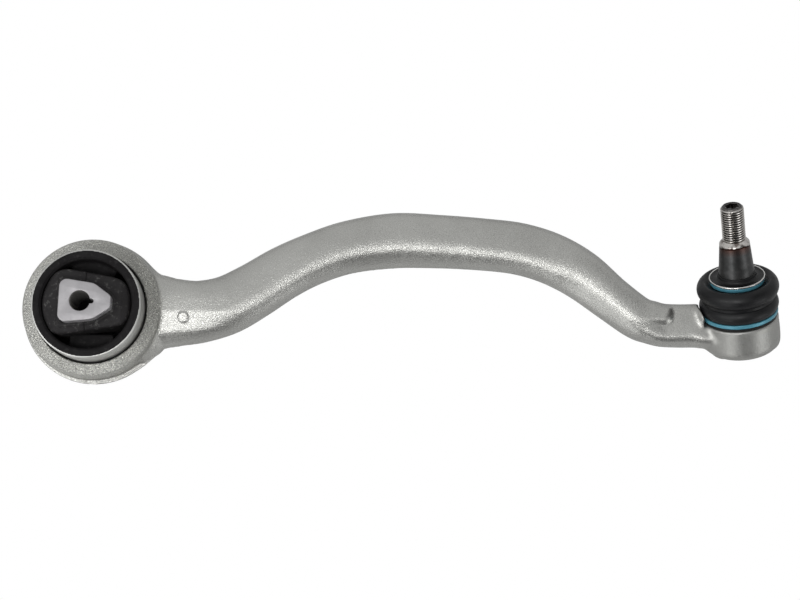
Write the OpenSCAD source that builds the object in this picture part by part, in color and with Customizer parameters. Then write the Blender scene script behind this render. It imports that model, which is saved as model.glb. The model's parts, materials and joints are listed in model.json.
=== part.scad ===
// Front suspension control arm: a forged light-alloy bar with a double bend, a fluid-filled
// rubber bush pressed into the eye at one end and a ball joint with its boot at the other.
// Millimetres. The origin is the middle of the bush bore, +Z runs along the bore, and +X
// points to the centre of the ball, so the arm lies flat.

/* [Arm forging] */
// Distance from the bush bore to the ball centre
centre_distance = 400; // [390:1:410]
// Height of the forging's middle plane against the middle of the bush
mid_z = -8; // [-9:0.5:-7]
// Diameter of the eye at its parting line
eye_d = 87; // [84:1:92]
// Height of the eye
eye_h = 33; // [28:1:36]
// Draft of the eye's outer wall, in degrees
eye_draft = 4; // [2:1:6]
// Sides of the bar's rounded cross-section
section_sides = 28; // [16:4:32]
// Squareness of the bar's cross-section (2 is an ellipse)
section_power = 2.7; // [2.2:0.1:3.5]

/* [Bush] */
// Outside diameter of the bush sleeve
sleeve_d = 66; // [66:1:67]
// Length of the sleeve
sleeve_h = 52; // [50:1:54]
// Wall of the sleeve
sleeve_wall = 1.8; // [1.5:0.1:1.9]
// Length of the inner core
core_h = 73; // [70:1:78]
// Bolt bore through the core
bore_d = 12.2; // [12:0.1:12.5]
// How far the core sits off the middle of the sleeve, along X
core_shift = -2; // [-3:0.5:0]
// Turn of the core about the bore, in degrees
core_turn = -1.5; // [-5:0.5:5]
// Width of the locating slot beside the bore
slot_w = 2.7; // [2:0.1:3]
// Reach of the locating slot from the bore's axis
slot_reach = 8.3; // [7.5:0.1:9]

/* [Ball joint] */
// Lean of the stud away from the bush bore's direction, in degrees
stud_lean = 55; // [50:1:60]
// Heading of that lean, measured from +X, in degrees
stud_heading = 101; // [95:1:107]
// Outside diameter of the housing
housing_d = 47; // [46:0.5:50]
// Depth of the housing below the ball centre
housing_depth = 18; // [18:0.5:20]
// Diameter of the ball
ball_d = 27; // [26:0.5:27]
// Radial running clearance between ball and seat
ball_clearance = 0.05; // [0.02:0.01:0.1]
// Diameter of the stud thread
thread_d = 14; // [12:1:14]
// Length of the thread
thread_h = 22; // [20:1:24]
// Distance from the ball centre to the stud's tip
stud_tip = 77.5; // [75:0.5:80]
// Stud diameter at the small end of the taper
taper_small_d = 18.2; // [17:0.1:18.6]
// Stud diameter at the large end of the taper
taper_large_d = 20.8; // [20:0.1:21]
// Largest radius of the boot
boot_r = 25.5; // [25:0.1:25.6]
// Wall of the boot
boot_wall = 1.8; // [1.5:0.1:2]

/* [Hidden] */
$fn = 96;

alloy_grey = [0.66, 0.66, 0.63];
core_grey = [0.72, 0.71, 0.72];
steel_grey = [0.60, 0.61, 0.62];
rubber_black = [0.13, 0.13, 0.14];
plastic_black = [0.20, 0.20, 0.21];
clamp_teal = [0.29, 0.63, 0.71];
seat_white = [0.88, 0.87, 0.82];

// The bar's stations along its centre line, from inside the eye to inside the housing:
// X, Y, width in the plane of the arm, depth along Z, height of its middle above mid_z.
BAR = [
  [31, 0, 66, 31, 0],
  [37, 0, 56, 30, 0],
  [44, 0.5, 47.5, 29, 0],
  [54, 0.5, 42.5, 28, 0],
  [68, 1.5, 39, 27.5, 0],
  [84, 6, 37, 27, 0],
  [100, 15, 35.5, 27, 0],
  [118, 26.5, 34, 27, 0],
  [136, 35.5, 33, 27, 0],
  [158, 43.5, 33.5, 27, 0],
  [186, 47.5, 34.5, 27, 0],
  [214, 47, 34, 27, 0],
  [242, 45.5, 33, 27, 0],
  [264, 43, 33.5, 27, 0],
  [284, 36.5, 33, 27, 0],
  [302, 26.5, 31.5, 26.5, 0],
  [320, 12, 28.5, 26, 0],
  [336, 1, 27.5, 25, 0],
  [352, -3.5, 27.5, 23, -0.5],
  [366, -3.5, 27.5, 21, -1],
  [386, -5, 28, 20, -1]
];
RINGS_PER_STATION = 3;

// Eye and bush
eye_x = -core_shift;
eye_r = eye_d / 2;
eye_face_r = eye_r - tan(eye_draft) * eye_h / 2;
eye_round = 2.5;
sleeve_r = sleeve_d / 2;
sleeve_bore_r = sleeve_r - sleeve_wall;
sleeve_lip = 0.7;
sleeve_lip_h = 1.2;
fit_gap = 0.1;
cage_r = sleeve_bore_r - fit_gap;
cage_ring_wall = 1.9;
cage_ring_low = 15;
cage_ring_high = sleeve_h / 2 - 1.5;
cage_flange_h = 1.6;
cage_rib_r = 28.6;
cage_rib_wall = 1.4;
cage_rib_angle = 34;
channel_inner_r = cage_rib_r + 0.2;
channel_half_h = cage_ring_low - 0.6;
channel_groove_w = 3.5;
channel_groove_deep = 1.2;
channel_groove_z = 5.5;
stop_inner_r = 24.5;
stop_half_w = 10;
stop_half_h = 14;
rubber_r = cage_rib_r - cage_rib_wall - fit_gap;
lining_r = cage_r - cage_ring_wall - fit_gap;
lining_inner_r = lining_r - 2.6;
lining_low = cage_ring_low + cage_flange_h + fit_gap;
lining_high = sleeve_h / 2 - sleeve_lip_h - fit_gap;
membrane_low = 17.5;
membrane_h = 2;
block_half_h = sleeve_h / 2 + 1;
keep_in_r = 28;

// The rubber block's outline about the sleeve's axis, wider on the left than on the right
BLOCK = [[-30, -21.5], [-8, -20], [30, -13.5], [30, 14.5], [-8, 21], [-30, 22.5]];
// The core's outline about the bore: X, Y and corner radius of each corner
CORE = [
  [-12.7, -13.4, 4.5], [8, -10.8, 9], [18.4, -3.6, 3.5],
  [18.4, 3.6, 3.5], [8, 10.8, 9], [-12.7, 13.4, 4.5]
];
CORNER_STEPS = 6;

// Ball joint, measured along the stud's axis from the ball centre
ball_r = ball_d / 2;
housing_r = housing_d / 2;
housing_rim = 4;
housing_round = 3.5;
neck_r = 20.3;
neck_top = 10;
mouth_r = 14.2;
seat_r = 16.4;
seat_top = 7.6;
seat_bottom = -13.6;
cavity_top = 8;
preload_h = 1.3;
cover_r = 18;
cover_h = 2.2;
cover_low = -housing_depth + 0.9;
boot_cut_r = 27;
boot_cut_h = 45;
stud_neck_r = 7.4;
stud_collar_r = taper_large_d / 2 + 0.4;
collar_low = 29.2;
collar_high = 36.5;
taper_low = 38;
taper_high = stud_tip - thread_h - 2.2;
thread_low = stud_tip - thread_h;
tip_chamfer = 1.4;
socket_r = 4.1;
socket_deep = 6;
seal_rim_r = 17;
seal_rim_wall = 0.8;
seal_low = 29.5;
seal_high = 30.6;
seal_gap = 0.02;

// Boot: two bulges of round section, a lip under the seal ring and a bead on the housing
upper_bulge_r = 6.3;
upper_bulge_s = 22.2;
lower_bulge_r = 5.6;
lower_bulge_s = 12.4;
upper_bulge_ring = boot_r - upper_bulge_r;
lower_bulge_ring = boot_r - 0.9 - lower_bulge_r;
bead_r = 21.8;
bead_low = housing_rim + 0.3;
bead_high = 9;
bead_inner_r = neck_r + 0.3;
lip_inner_r = 13.2;
lip_outer_r = 15.2;
lip_low = 27;
lip_high = seal_low - 0.3;

lower_clamp_r = 23.4;
lower_clamp_low = 5;
lower_clamp_h = 2.4;
upper_clamp_r = 16.5;
upper_clamp_low = 28;
upper_clamp_h = 1.2;
boot_fit = 0.1;

// Smooth curve through the stations: station i and the fraction t towards the next one
function curve(p, i, t) =
  let (
    a = p[max(i - 1, 0)],
    b = p[i],
    c = p[min(i + 1, len(p) - 1)],
    d = p[min(i + 2, len(p) - 1)]
  )
  0.5 * (2 * b + (c - a) * t + (2 * a - 5 * b + 4 * c - d) * t * t
    + (3 * b - a - 3 * c + d) * t * t * t);

function signed_power(v, e) = sign(v) * pow(abs(v), e);

// One ring of the bar: a rounded section across the direction of travel
function bar_ring(s, ahead) =
  let (
    dir = [ahead[0] - s[0], ahead[1] - s[1]] / norm([ahead[0] - s[0], ahead[1] - s[1]]),
    e = 2 / section_power
  )
  [for (k = [0 : section_sides - 1])
    let (
      a = 360 * k / section_sides,
      across = signed_power(cos(a), e) * s[2] / 2,
      up = signed_power(sin(a), e) * s[3] / 2
    )
    [s[0] - dir[1] * across, s[1] + dir[0] * across, mid_z + s[4] + up]
  ];

// Points of a polygon whose corners, given as [x, y, radius], are rounded by arcs
function rounded(p) = [
  for (i = [0 : len(p) - 1])
    let (
      here = [p[i][0], p[i][1]],
      before = [p[(i + len(p) - 1) % len(p)][0], p[(i + len(p) - 1) % len(p)][1]],
      after = [p[(i + 1) % len(p)][0], p[(i + 1) % len(p)][1]],
      u = (before - here) / norm(before - here),
      v = (after - here) / norm(after - here),
      half = acos(u * v) / 2,
      mid = (u + v) / norm(u + v),
      centre = here + mid * p[i][2] / sin(half),
      from = atan2(-mid[1], -mid[0])
    )
    for (k = [0 : CORNER_STEPS])
      let (a = from + (k / CORNER_STEPS - 0.5) * 2 * (90 - half))
      centre + p[i][2] * [cos(a), sin(a)]
];

module bar() {
  last = (len(BAR) - 1) * RINGS_PER_STATION;
  samples = [
    for (j = [0 : last])
      let (i = min(floor(j / RINGS_PER_STATION), len(BAR) - 2))
      curve(BAR, i, j / RINGS_PER_STATION - i)
  ];
  rings = [
    for (j = [0 : last])
      let (
        forward = j < last ? samples[j + 1] : 2 * samples[j] - samples[j - 1],
        back = j > 0 ? samples[j - 1] : 2 * samples[0] - samples[1]
      )
      bar_ring(samples[j], samples[j] + forward - back)
  ];
  n = section_sides;
  polyhedron(
    points = [for (r = rings) each r],
    faces = [
      for (j = [0 : last - 1])
        for (k = [0 : n - 1])
          each [
            [j * n + k, (j + 1) * n + k, (j + 1) * n + (k + 1) % n],
            [j * n + k, (j + 1) * n + (k + 1) % n, j * n + (k + 1) % n]
          ],
      [for (k = [0 : n - 1]) k],
      [for (k = [0 : n - 1]) last * n + n - 1 - k]
    ]
  );
}

// A ring around +Z, given by its radii and heights
module tube(inner, outer, low, high) {
  translate([0, 0, low])
    difference() {
      cylinder(r = outer, h = high - low);
      translate([0, 0, -1])
        cylinder(r = inner, h = high - low + 2);
    }
}

module at_ball() {
  translate([centre_distance, 0, mid_z])
    rotate([0, stud_lean, stud_heading])
      children();
}

module at_eye() {
  translate([eye_x, 0, 0])
    children();
}

module eye_blank() {
  half = eye_h / 2;
  translate([eye_x, 0, mid_z])
    rotate_extrude()
      polygon([
        [0, -half], [eye_face_r - eye_round, -half], [eye_face_r, -half + eye_round],
        [eye_r, 0], [eye_face_r, half - eye_round], [eye_face_r - eye_round, half], [0, half]
      ]);
}

module housing_blank() {
  at_ball() {
    rotate_extrude()
      polygon([
        [0, -housing_depth], [housing_r - housing_round, -housing_depth],
        [housing_r - 0.3 * housing_round, -housing_depth + 0.3 * housing_round],
        [housing_r, -housing_depth + housing_round], [housing_r, housing_rim], [0, housing_rim]
      ]);
    cylinder(r = neck_r, h = neck_top);
  }
}

module arm_forging() {
  color(alloy_grey)
    difference() {
      union() {
        difference() {
          union() {
            bar();
            eye_blank();
          }
          at_ball()
            translate([0, 0, housing_rim])
              cylinder(r = boot_cut_r, h = boot_cut_h);
          at_ball()
            translate([0, 0, -housing_depth + 1])
              cylinder(r = cover_r + 1, h = housing_depth);
        }
        housing_blank();
      }
      at_eye()
        translate([0, 0, -eye_h])
          cylinder(r = sleeve_r, h = 2 * eye_h);
      at_ball() {
        translate([0, 0, seat_bottom - preload_h - 0.1])
          cylinder(r = seat_r, h = cavity_top - seat_bottom + preload_h + 0.1);
        translate([0, 0, -housing_depth - 1])
          cylinder(r = cover_r, h = cover_low + cover_h + housing_depth + 1);
        cylinder(r = mouth_r, h = neck_top + 1);
      }
    }
}

module bush_outer_sleeve() {
  half = sleeve_h / 2;
  color(steel_grey)
    at_eye() {
      tube(sleeve_bore_r, sleeve_r, -half, half);
      for (low = [-half, half - sleeve_lip_h])
        tube(sleeve_bore_r - sleeve_lip, sleeve_bore_r + sleeve_wall / 2, low, low + sleeve_lip_h);
    }
}

module cage_end() {
  tube(cage_r - cage_ring_wall, cage_r, cage_ring_low, cage_ring_high);
  tube(cage_rib_r - cage_rib_wall, cage_r, cage_ring_low, cage_ring_low + cage_flange_h);
}

module cage_rib() {
  rotate([0, 0, -cage_rib_angle])
    rotate_extrude(angle = 2 * cage_rib_angle)
      translate([cage_rib_r - cage_rib_wall, -cage_ring_low - 0.5])
        square([cage_rib_wall, 2 * cage_ring_low + 1]);
}

module bush_window_cage() {
  color(steel_grey)
    at_eye()
      union() {
        cage_end();
        mirror([0, 0, 1])
          cage_end();
        cage_rib();
        rotate([0, 0, 180])
          cage_rib();
      }
}

// Half of the plastic ring that carries the fluid channels round the bush
module channel_half() {
  difference() {
    rotate([0, 0, 0.3])
      rotate_extrude(angle = 179.4)
        translate([channel_inner_r, -channel_half_h])
          square([cage_r - channel_inner_r, 2 * channel_half_h]);
    for (z = [-channel_groove_z, channel_groove_z])
      tube(
        cage_r - channel_groove_deep, cage_r + 1,
        z - channel_groove_w / 2, z + channel_groove_w / 2
      );
  }
}

module bush_channel_ring_upper() {
  color(plastic_black)
    at_eye()
      channel_half();
}

module bush_channel_ring_lower() {
  color(plastic_black)
    at_eye()
      rotate([0, 0, 180])
        channel_half();
}

// Pad inside the fluid chamber that limits the core's sideways travel
module stop_pad() {
  intersection() {
    tube(stop_inner_r, channel_inner_r, -stop_half_h, stop_half_h);
    translate([-stop_half_w, 0, -stop_half_h])
      cube([2 * stop_half_w, sleeve_r, 2 * stop_half_h]);
  }
}

module bush_stop_upper() {
  color(plastic_black)
    at_eye()
      stop_pad();
}

module bush_stop_lower() {
  color(plastic_black)
    at_eye()
      rotate([0, 0, 180])
        stop_pad();
}

module core_outline() {
  polygon(rounded(CORE));
}

module rubber_end() {
  tube(lining_inner_r, lining_r, lining_low, lining_high);
  translate([0, 0, membrane_low])
    cylinder(r = lining_inner_r + 1, h = membrane_h);
  intersection() {
    translate([0, 0, lining_low])
      cylinder(r = keep_in_r, h = block_half_h - lining_low);
    rotate([0, 0, core_turn])
      linear_extrude(height = block_half_h)
        polygon(BLOCK);
  }
}

module bush_rubber() {
  color(rubber_black)
    difference() {
      at_eye()
        union() {
          intersection() {
            translate([0, 0, -lining_low - 0.5])
              cylinder(r = rubber_r, h = 2 * lining_low + 1);
            rotate([0, 0, core_turn])
              translate([0, 0, -sleeve_h])
                linear_extrude(height = 2 * sleeve_h)
                  polygon(BLOCK);
          }
          rubber_end();
          mirror([0, 0, 1])
            rubber_end();
        }
      rotate([0, 0, core_turn])
        translate([0, 0, -core_h])
          linear_extrude(height = 2 * core_h)
            core_outline();
    }
}

module bush_inner_core() {
  color(core_grey)
    rotate([0, 0, core_turn])
      difference() {
        translate([0, 0, -core_h / 2])
          linear_extrude(height = core_h)
            core_outline();
        translate([0, 0, -core_h])
          cylinder(d = bore_d, h = 2 * core_h);
        translate([0, -slot_w / 2, -core_h])
          cube([slot_reach - slot_w / 2, slot_w, 2 * core_h]);
        translate([slot_reach - slot_w / 2, 0, -core_h])
          cylinder(d = slot_w, h = 2 * core_h);
      }
}

module ball_seat() {
  color(seat_white)
    at_ball()
      difference() {
        translate([0, 0, seat_bottom])
          cylinder(r = seat_r, h = seat_top - seat_bottom);
        sphere(r = ball_r + ball_clearance);
        cylinder(r1 = 9, r2 = 12.6, h = seat_top + 0.01);
        translate([0, 0, seat_bottom - 1])
          cylinder(r = 6, h = 3);
      }
}

module seat_preload_ring() {
  color(rubber_black)
    at_ball()
      tube(seat_r - 5, seat_r - 0.3, seat_bottom - preload_h, seat_bottom);
}

module cover_plate() {
  color(steel_grey)
    at_ball()
      translate([0, 0, cover_low])
        cylinder(r = cover_r, h = cover_h - 0.1);
}

module ball_stud() {
  color(steel_grey)
    at_ball()
      difference() {
        union() {
          sphere(r = ball_r);
          cylinder(r = stud_neck_r, h = collar_low - 2);
          translate([0, 0, collar_low - 4])
            cylinder(r1 = stud_neck_r, r2 = stud_collar_r, h = 4.01);
          translate([0, 0, collar_low])
            cylinder(r = stud_collar_r, h = collar_high - collar_low);
          translate([0, 0, collar_high - 0.01])
            cylinder(r1 = stud_collar_r, r2 = taper_large_d / 2, h = taper_low - collar_high + 0.02);
          translate([0, 0, taper_low])
            cylinder(d1 = taper_large_d, d2 = taper_small_d, h = taper_high - taper_low);
          translate([0, 0, taper_high - 0.01])
            cylinder(d1 = taper_small_d, d2 = thread_d, h = thread_low - taper_high + 0.01);
          translate([0, 0, thread_low])
            cylinder(d = thread_d, h = thread_h - tip_chamfer);
          translate([0, 0, stud_tip - tip_chamfer - 0.01])
            cylinder(d1 = thread_d, d2 = thread_d - 2 * tip_chamfer, h = tip_chamfer + 0.01);
        }
        translate([0, 0, stud_tip - socket_deep])
          cylinder(r = socket_r, h = socket_deep + 1, $fn = 6);
      }
}

// Rubber seal pressed on the stud's collar, flared out to its steel rim
module stud_seal_ring() {
  bore = stud_collar_r + seal_gap;
  color(rubber_black)
    at_ball()
      rotate_extrude()
        polygon([
          [bore, seal_low], [seal_rim_r - seal_rim_wall, seal_low],
          [seal_rim_r - seal_rim_wall, seal_high - 0.4], [bore + 2.2, seal_high],
          [bore + 1.1, seal_high + 1.6], [bore + 0.5, collar_high - 0.8], [bore, collar_high - 0.4]
        ]);
}

module stud_seal_rim() {
  color(steel_grey)
    at_ball()
      tube(seal_rim_r - seal_rim_wall, seal_rim_r, seal_low, seal_high);
}

module dust_boot() {
  upper = [upper_bulge_ring, upper_bulge_s];
  lower = [lower_bulge_ring, lower_bulge_s];
  color(rubber_black)
    at_ball()
      rotate_extrude()
        difference() {
          union() {
            translate(upper)
              circle(r = upper_bulge_r);
            translate(lower)
              circle(r = lower_bulge_r);
            translate([lip_inner_r, lip_low])
              square([lip_outer_r - lip_inner_r, lip_high - lip_low]);
            translate([lip_inner_r, lip_low - boot_wall])
              square([upper_bulge_ring - lip_inner_r, boot_wall]);
            translate([bead_inner_r, bead_low])
              square([bead_r - bead_inner_r, bead_high - bead_low]);
          }
          translate(upper)
            circle(r = upper_bulge_r - boot_wall);
          translate(lower)
            circle(r = lower_bulge_r - boot_wall);
          square([upper_bulge_ring, lip_low - boot_wall]);
          square([bead_inner_r, lower_bulge_s]);
        }
}

module lower_clamp_ring() {
  color(clamp_teal)
    at_ball()
      tube(bead_r + boot_fit, lower_clamp_r, lower_clamp_low, lower_clamp_low + lower_clamp_h - 0.6);
}

module upper_clamp_ring() {
  color(clamp_teal)
    at_ball()
      tube(lip_outer_r + boot_fit, upper_clamp_r, upper_clamp_low, upper_clamp_low + upper_clamp_h);
}

arm_forging();
bush_outer_sleeve();
bush_window_cage();
bush_channel_ring_upper();
bush_channel_ring_lower();
bush_stop_upper();
bush_stop_lower();
bush_rubber();
bush_inner_core();
ball_seat();
seat_preload_ring();
cover_plate();
ball_stud();
stud_seal_ring();
stud_seal_rim();
dust_boot();
lower_clamp_ring();
upper_clamp_ring();
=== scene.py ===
"""The looks of a forged suspension control arm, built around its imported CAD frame.

Shapes are worked out in millimetres in the frame's own axes and turned into metres when a mesh
is made. The arm's skin and the bush rubber are distance fields turned into meshes. Round pieces
are turned from profiles, the thread runs along a helix, and the core is an extruded outline.
"""

import json
import math

import bmesh
import bpy
import numpy as np
import openvdb
from mathutils import Matrix, Vector


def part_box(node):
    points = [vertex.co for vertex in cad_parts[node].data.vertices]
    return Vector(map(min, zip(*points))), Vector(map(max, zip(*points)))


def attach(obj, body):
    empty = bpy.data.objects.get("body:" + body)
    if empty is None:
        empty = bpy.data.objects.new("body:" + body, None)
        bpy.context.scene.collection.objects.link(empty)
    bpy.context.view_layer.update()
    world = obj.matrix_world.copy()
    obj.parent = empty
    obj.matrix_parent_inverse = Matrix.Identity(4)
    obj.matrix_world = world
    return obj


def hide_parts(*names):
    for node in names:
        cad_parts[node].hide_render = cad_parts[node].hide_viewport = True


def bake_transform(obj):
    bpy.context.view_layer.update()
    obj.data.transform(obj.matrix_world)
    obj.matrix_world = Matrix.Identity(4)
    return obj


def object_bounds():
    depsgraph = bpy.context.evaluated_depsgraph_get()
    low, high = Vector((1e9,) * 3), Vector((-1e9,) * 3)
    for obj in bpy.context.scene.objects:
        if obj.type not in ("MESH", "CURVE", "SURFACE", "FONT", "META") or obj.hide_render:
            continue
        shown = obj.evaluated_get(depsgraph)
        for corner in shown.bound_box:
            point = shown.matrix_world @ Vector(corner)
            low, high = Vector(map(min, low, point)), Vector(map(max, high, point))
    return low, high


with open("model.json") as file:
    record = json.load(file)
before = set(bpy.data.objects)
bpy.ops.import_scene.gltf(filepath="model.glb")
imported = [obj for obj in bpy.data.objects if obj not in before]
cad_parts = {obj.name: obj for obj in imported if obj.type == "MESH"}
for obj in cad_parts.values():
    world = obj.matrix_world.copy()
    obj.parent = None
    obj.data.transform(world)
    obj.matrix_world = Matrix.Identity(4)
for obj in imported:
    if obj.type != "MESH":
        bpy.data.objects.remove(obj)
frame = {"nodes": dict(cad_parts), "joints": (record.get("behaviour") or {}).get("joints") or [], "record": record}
cad_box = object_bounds()
scene = bpy.context.scene

MM = 0.001

# ------------ places taken from the frame

joints = {joint["name"]: joint for joint in frame["joints"]}
mounts = {mount["name"]: mount for mount in frame["record"]["mounts"]}


def node_box(node):
    """Lowest and highest corner of a CAD node, in millimetres."""
    low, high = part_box(node)
    return np.array(low) / MM, np.array(high) / MM


sleeve_low, sleeve_high = node_box("bush_outer_sleeve")
EYE = (sleeve_low + sleeve_high) / 2
SLEEVE_R = (sleeve_high[0] - sleeve_low[0]) / 2
SLEEVE_HALF = (sleeve_high[2] - sleeve_low[2]) / 2
core_low, core_high = node_box("bush_inner_core")
CORE_HALF = (core_high[2] - core_low[2]) / 2
BORE_R = mounts["bush_bore"]["dims"]["r_mm"]
BALL = np.array(joints["stud_spin"]["pos_m"]) / MM
STUD_DIR = np.array(joints["stud_spin"]["axis"])
TILT_DIR = np.array(joints["stud_tilt"]["axis"])
STUD_AXES = np.array([np.cross(TILT_DIR, STUD_DIR), TILT_DIR, STUD_DIR])
UP_AXES = np.eye(3)
MID_Z = BALL[2]
THREAD_R = mounts["stud_thread"]["dims"]["r_mm"]

# ------------ driving sizes, millimetres

# Forged bar: X, Y, width, depth, then the roof of its section: how far its ridge sits to -Y as a
# share of half the width, the fall of the +Y and -Y faces in degrees, and the ridge's rounding
BAR = [
    (31, -1.4, 60.6, 27, 0.5, -5, 45, 6),
    (37, -0.8, 53, 27, 0.5, -5, 45, 6),
    (44, 0, 45.8, 27, 0.5, -5.5, 46, 6),
    (54, 0, 41, 27, 0.5, -5.5, 46, 6),
    (68, 0.9, 37.8, 27, 0.5, -3, 46, 5),
    (84, 5.4, 35.9, 27, 0.55, 1, 46, 4.5),
    (100, 14.4, 34.3, 27, 0.6, 7, 46, 5),
    (118, 25.9, 32.8, 27, 0.6, 9, 46, 5),
    (136, 34.8, 31.8, 27, 0.5, 9, 46, 5),
    (158, 42.5, 32.5, 27, 0.4, 10, 46, 6),
    (186, 46.9, 34, 27, 0.4, 10, 46, 6),
    (214, 46.7, 32.9, 27, 0.44, 10, 46, 6),
    (242, 45.2, 32, 27, 0.54, 10, 46, 5),
    (264, 42.7, 31.9, 27, 0.59, 9, 46, 5),
    (284, 36.6, 31.6, 27, 0.56, 8, 42, 7),
    (302, 26.7, 30.5, 27, 0.3, 6, 44, 7),
    (320, 12.4, 27.4, 27, 0.24, 4, 46, 5),
    (336, 0.8, 26.3, 26, 0.38, 4, 47, 4),
    (345, -2.4, 26.3, 25.5, 0.5, 3, 48, 3),
    (352, -4, 26.3, 25.2, 0.52, 2, 48, 3),
    (362, -4.3, 26.3, 25, 0.45, 0, 48, 3),
    (369, -4.15, 26.4, 25.2, 0.45, 0, 48, 3),
    (373, -4.1, 26.7, 27, 0.45, 0, 48, 3),
    (377, -4.2, 27.2, 28.5, 0.45, 0, 48, 3),
    (388, -4.5, 28, 29, 0.45, 0, 48, 3),
]
# The bar's section: its outline's exponent, and the growth of that from one X towards the eye
SECTION_POWER = 2.6
SQUARER = 1.3
SQUARE_FROM = 92.0
SQUARE_OVER = 40.0
# share of its rounding by which a ridge's sharp form stands above the section's depth
RIDGE_LIFT = 0.15
BAR_EDGE = 2.5

# The eye: radius on the parting plane, draft, half height, and a crown that slopes outside a radius
EYE_R = 43.2
EYE_SHIFT_Y = 0.8
EYE_HALF = 16.5
EYE_DRAFT = math.radians(4.5)
EYE_EDGE = 1.0
EYE_FIT = 0.05
CROWN_R = 34.6
CROWN_SLOPE = math.radians(18)
# broken edge of its bore: how wide, and how deep from the face
EYE_BREAK = 1.25
EYE_BREAK_DEPTH = 2.5
# fillet between the eye and the bar: at the faces, what it gains inwards, and where that starts
EYE_FILLET = 0.8
EYE_FILLET_GAIN = 5.0
EYE_FILLET_FROM = 11.5
# painted shade darkens the eye's face on this side of the bush
PAINTED_SHADE_SIDE = (0.94, 0.34, 0.0)

# The housing, about the stud's axis, with heights from the ball's centre
HOUSING_R = 23.5
HOUSING_RIM = 4.0
HOUSING_DEPTH = 18.0
HOUSING_EDGE = 6.5
HOUSING_FILLET = 2.8
SPIGOT_R = 20.3
SPIGOT_TOP = 10.0
BOOT_CUT_R = 24.9
SEAT_R = 16.4
SEAT_TOP = 8.0
SEAT_BOTTOM = -15.0
MOUTH_R = 14.2
COVER_R = 18.0
COVER_TOP = -14.9

# The pocket on the neck: its floor, the pad that it leaves free, where it fades and where it ends
POCKET_FLOOR = 9.3
POCKET_WALL_SLOPE = 0.7
PAD_END = (357.0, -5.0)
PAD_R = 5.0
PAD_TOP = 12.6
POCKET_FADE_X = (331.0, 354.0)
POCKET_END_R = 26.9
POCKET_END_Y = -5.0

# The round forging pip, and the trimmed flash with its own circle round the eye
PIP_AT = (58.0, -4.5)
PIP_R = 3.2
PIP_H = 0.7
FLASH_H = 0.3
FLASH_EYE_R = 43.7
FLASH_EYE_AT = (3.2, -1.2)
FLASH_HALF_W = 0.7

# Spacing of the grids that carry the distance fields, and the room they leave round the arm
SKIN_PITCH = 0.6
RUBBER_PITCH = 0.55
SKIN_ROOM = 2.0
# steps between the bar's stations, and how many of them are searched at a time
BAR_STEPS = 20
SEARCH = 40
# edges above these angles, in degrees, are crisp on made meshes and on meshes from fields
SHARP = 35
FIELD_SHARP = 60

# The stud's thread and the edge of its stain, as heights from the ball's centre
STUD_TIP = 77.5
THREAD_LOW = 55.5
THREAD_PITCH = 1.5
THREAD_DEPTH = 0.9
STAIN_LOW = 50.5

# Inner core: X, Y and corner radius of each corner, about the bore
CORE = [
    (-12.7, -13.4, 4.5), (8, -10.8, 9), (18.4, -3.6, 3.5),
    (18.4, 3.6, 3.5), (8, 10.8, 9), (-12.7, 13.4, 4.5),
]
CORE_TURN = math.radians(-1.5)
SLOT_W = 2.7
SLOT_REACH = 8.3


# ------------ mesh helpers

def finish_mesh(mesh, sharp_degrees):
    """Smooth shading with the edges above an angle left crisp."""
    mesh.polygons.foreach_set("use_smooth", [True] * len(mesh.polygons))
    mesh.set_sharp_from_angle(angle=math.radians(sharp_degrees))
    mesh.update()


def new_object(name, data):
    """An object in the scene that shows a mesh, curve, light or camera."""
    thing = bpy.data.objects.new(name, data)
    scene.collection.objects.link(thing)
    return thing


def make_object(name, points, faces, material, sharp_degrees=SHARP):
    """A mesh object from points in millimetres."""
    mesh = bpy.data.meshes.new(name)
    mesh.from_pydata((np.asarray(points, float) * MM).tolist(), [], [list(f) for f in faces])
    mesh.validate()
    finish_mesh(mesh, sharp_degrees)
    mesh.materials.append(material)
    return new_object(name, mesh)


def arc(centre, radius, start, end, steps):
    """Points of an arc in a turned profile, from one angle to another, in degrees."""
    angles = np.radians(np.linspace(start, end, steps + 1))
    return [(centre[0] + radius * math.cos(a), centre[1] + radius * math.sin(a)) for a in angles]


def ring_faces(start, upper, columns, shift=0):
    """Quads between two rings of points; shift lets the last quad close a turn of a helix."""
    faces = []
    for i in range(columns):
        n = (i + 1) % columns
        skip = shift if n == 0 else 0
        faces.append((start + i, start + n + skip, upper + n + skip, upper + i))
    return faces


def turned(name, profile, material, columns=128, closed=True, wobble=None, origin=BALL, axes=STUD_AXES):
    """A piece turned from a profile of (radius, height) points, counter-clockwise about its metal.

    An open profile starts and ends on the axis. wobble(radii, heights, angles) may reshape it.
    """
    profile = np.array(profile, float)
    angle = np.linspace(0, 2 * math.pi, columns, endpoint=False)[None, :]
    radii = np.repeat(profile[:, 0:1], columns, axis=1)
    heights = np.repeat(profile[:, 1:2], columns, axis=1)
    if wobble:
        radii, heights = wobble(radii, heights, angle)
    points = np.stack([radii * np.cos(angle), radii * np.sin(angle), heights], axis=-1)
    points = points.reshape(-1, 3) @ axes + origin
    rows = len(profile)
    faces = []
    for i in range(rows if closed else rows - 1):
        faces += ring_faces(i * columns, (i + 1) % rows * columns, columns)
    piece = make_object(name, points, faces, material)
    weld(piece)
    return piece


def weld(piece, distance=1e-6):
    """Joins points that lie on each other and drops the faces that vanish with them."""
    edit = bmesh.new()
    edit.from_mesh(piece.data)
    bmesh.ops.remove_doubles(edit, verts=edit.verts, dist=distance)
    bmesh.ops.dissolve_degenerate(edit, edges=edit.edges, dist=distance)
    bmesh.ops.recalc_face_normals(edit, faces=edit.faces)
    edit.to_mesh(piece.data)
    edit.free()
    finish_mesh(piece.data, SHARP)


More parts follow.
